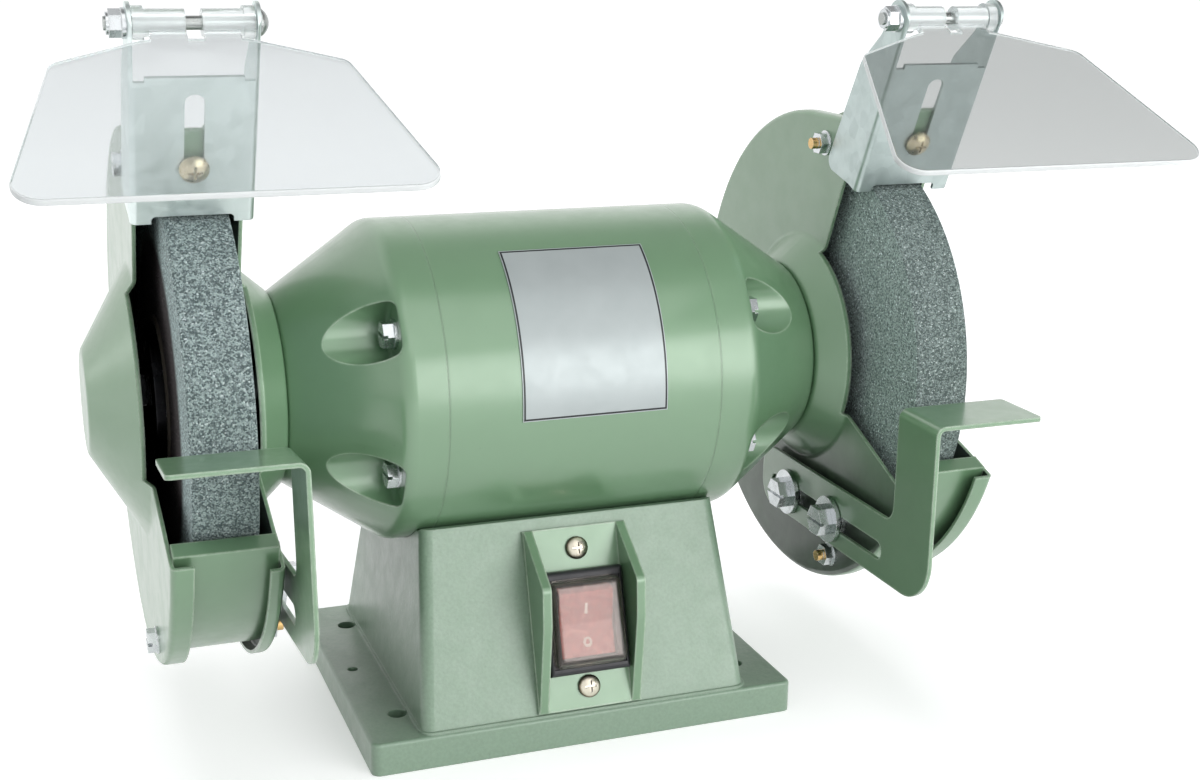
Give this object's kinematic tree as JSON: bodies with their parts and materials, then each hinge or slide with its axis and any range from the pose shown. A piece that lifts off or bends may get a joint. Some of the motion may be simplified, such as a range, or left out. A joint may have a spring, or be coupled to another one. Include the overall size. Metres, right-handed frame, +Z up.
{
  "type": "bench grinder",
  "caption": "Electric double-ended bench grinder: pedestal motor, two guarded grinding wheels, hinged clear eye shields, adjustable tool rests and a rocker switch.",
  "frame": {"origin": "in the underside of the foot, midway between the four bench holes", "axes": "+X along the spindle towards the fine wheel, -Y towards the operator, +Z up"},
  "size_m": [0.3532, 0.2199, 0.2495],
  "materials": {
    "hammered_green": "light green hammered enamel",
    "gloss_green": "sage green gloss enamel",
    "guard_green": "sage green gloss enamel outside, black inside",
    "zinc_sheet": "blue-passivated zinc plate",
    "plated_screw": "yellow-passivated zinc plate",
    "bright_steel": "ground steel",
    "plated_steel": "bright zinc plate",
    "lamination": "varnished laminations",
    "winding": "varnished copper winding",
    "cast_aluminium": "raw cast aluminium",
    "silver_label": "satin silver plate",
    "grit_coarse": "coarse grey aluminium oxide",
    "grit_fine": "fine grey aluminium oxide",
    "paper": "blotting paper",
    "black_plastic": "black moulded plastic",
    "grey_plastic": "light grey moulded plastic",
    "red_rocker": "translucent red, neon lit",
    "clear_boot": "clear soft PVC",
    "clear_shield": "clear polycarbonate"
  },
  "bodies": {
    "housing": {"base_casting": "hammered_green", "motor_shell": "gloss_green", "end_bell_left": "gloss_green", "end_bell_right": "gloss_green", "switch_plate": "gloss_green", "inner_guard_left": "guard_green", "inner_guard_right": "guard_green", "outer_cover_left": "guard_green", "outer_cover_right": "guard_green", "spark_band_left": "guard_green", "spark_band_right": "guard_green", "bracket_screws": "plated_screw", "switch_plate_screws": "plated_screw", "bearing_outer_rings": "bright_steel", "bearing_wave_washer": "bright_steel", "base_cover_plate": "plated_steel", "base_cover_screws": "plated_steel", "motor_mount_screws": "plated_steel", "end_bell_screws": "plated_steel", "guard_screws": "plated_steel", "cover_bolts": "plated_steel", "cover_nuts": "plated_steel", "tool_rest_bolts": "plated_steel", "tool_rest_washers": "plated_steel", "tool_rest_bosses": "plated_steel", "capacitor_clamp": "plated_steel", "stator_core": "lamination", "stator_windings": "winding", "run_capacitor": "cast_aluminium", "rating_plate": "silver_label", "switch_housing": "black_plastic", "cable_gland": "black_plastic", "cable_gland_nut": "black_plastic", "terminal_block": "grey_plastic", "switch_boot": "clear_boot"},
    "spindle": {"motor_shaft": "bright_steel", "rotor_core": "lamination", "rotor_end_rings": "cast_aluminium", "bearing_inner_rings": "bright_steel", "inner_wheel_flanges": "plated_steel", "outer_wheel_flanges": "plated_steel", "wheel_blotters": "paper", "grinding_wheel_left": "grit_coarse", "grinding_wheel_right": "grit_fine", "spindle_nuts": "plated_steel"},
    "tool_rest_left": {"tool_rest_left": "gloss_green"},
    "tool_rest_right": {"tool_rest_right": "gloss_green"},
    "bracket_left": {"shield_bracket_left": "zinc_sheet", "hinge_bolt_left": "plated_screw", "hinge_nut_left": "plated_steel"},
    "shield_left": {"eye_shield_left": "clear_shield"},
    "bracket_right": {"shield_bracket_right": "zinc_sheet", "hinge_bolt_right": "plated_screw", "hinge_nut_right": "plated_steel"},
    "shield_right": {"eye_shield_right": "clear_shield"},
    "rocker": {"switch_rocker": "red_rocker"}
  },
  "joints": [
    {"name": "spindle_spin", "type": "hinge", "parent": "housing", "child": "spindle", "pos_m": [0, 0, 0.1192], "axis": [1, 0, 0], "continuous": true},
    {"name": "tool_rest_slide_right", "type": "slide", "parent": "housing", "child": "tool_rest_right", "axis": [0, -1, 0], "range_m": [-0.0025, 0.0105]},
    {"name": "tool_rest_slide_left", "type": "slide", "parent": "housing", "child": "tool_rest_left", "axis": [0, -0.9951, 0.0993], "range_m": [-0.0025, 0.0055]},
    {"name": "rocker_tilt", "type": "hinge", "parent": "housing", "child": "rocker", "pos_m": [0, -0.05015, 0.04127], "axis": [-1, 0, 0], "range_deg": [0, 18]},
    {"name": "bracket_slide_left", "type": "slide", "parent": "housing", "child": "bracket_left", "axis": [0, -0.4255, 0.905], "range_m": [-0.0014, 0.0014]},
    {"name": "shield_tilt_left", "type": "hinge", "parent": "bracket_left", "child": "shield_left", "pos_m": [-0.12275, -0.06028, 0.2435], "axis": [1, 0, 0], "range_deg": [-110, 30]},
    {"name": "bracket_slide_right", "type": "slide", "parent": "housing", "child": "bracket_right", "axis": [0, -0.4255, 0.905], "range_m": [-0.0014, 0.0014]},
    {"name": "shield_tilt_right", "type": "hinge", "parent": "bracket_right", "child": "shield_right", "pos_m": [0.12275, -0.06028, 0.2435], "axis": [1, 0, 0], "range_deg": [-110, 30]}
  ]
}
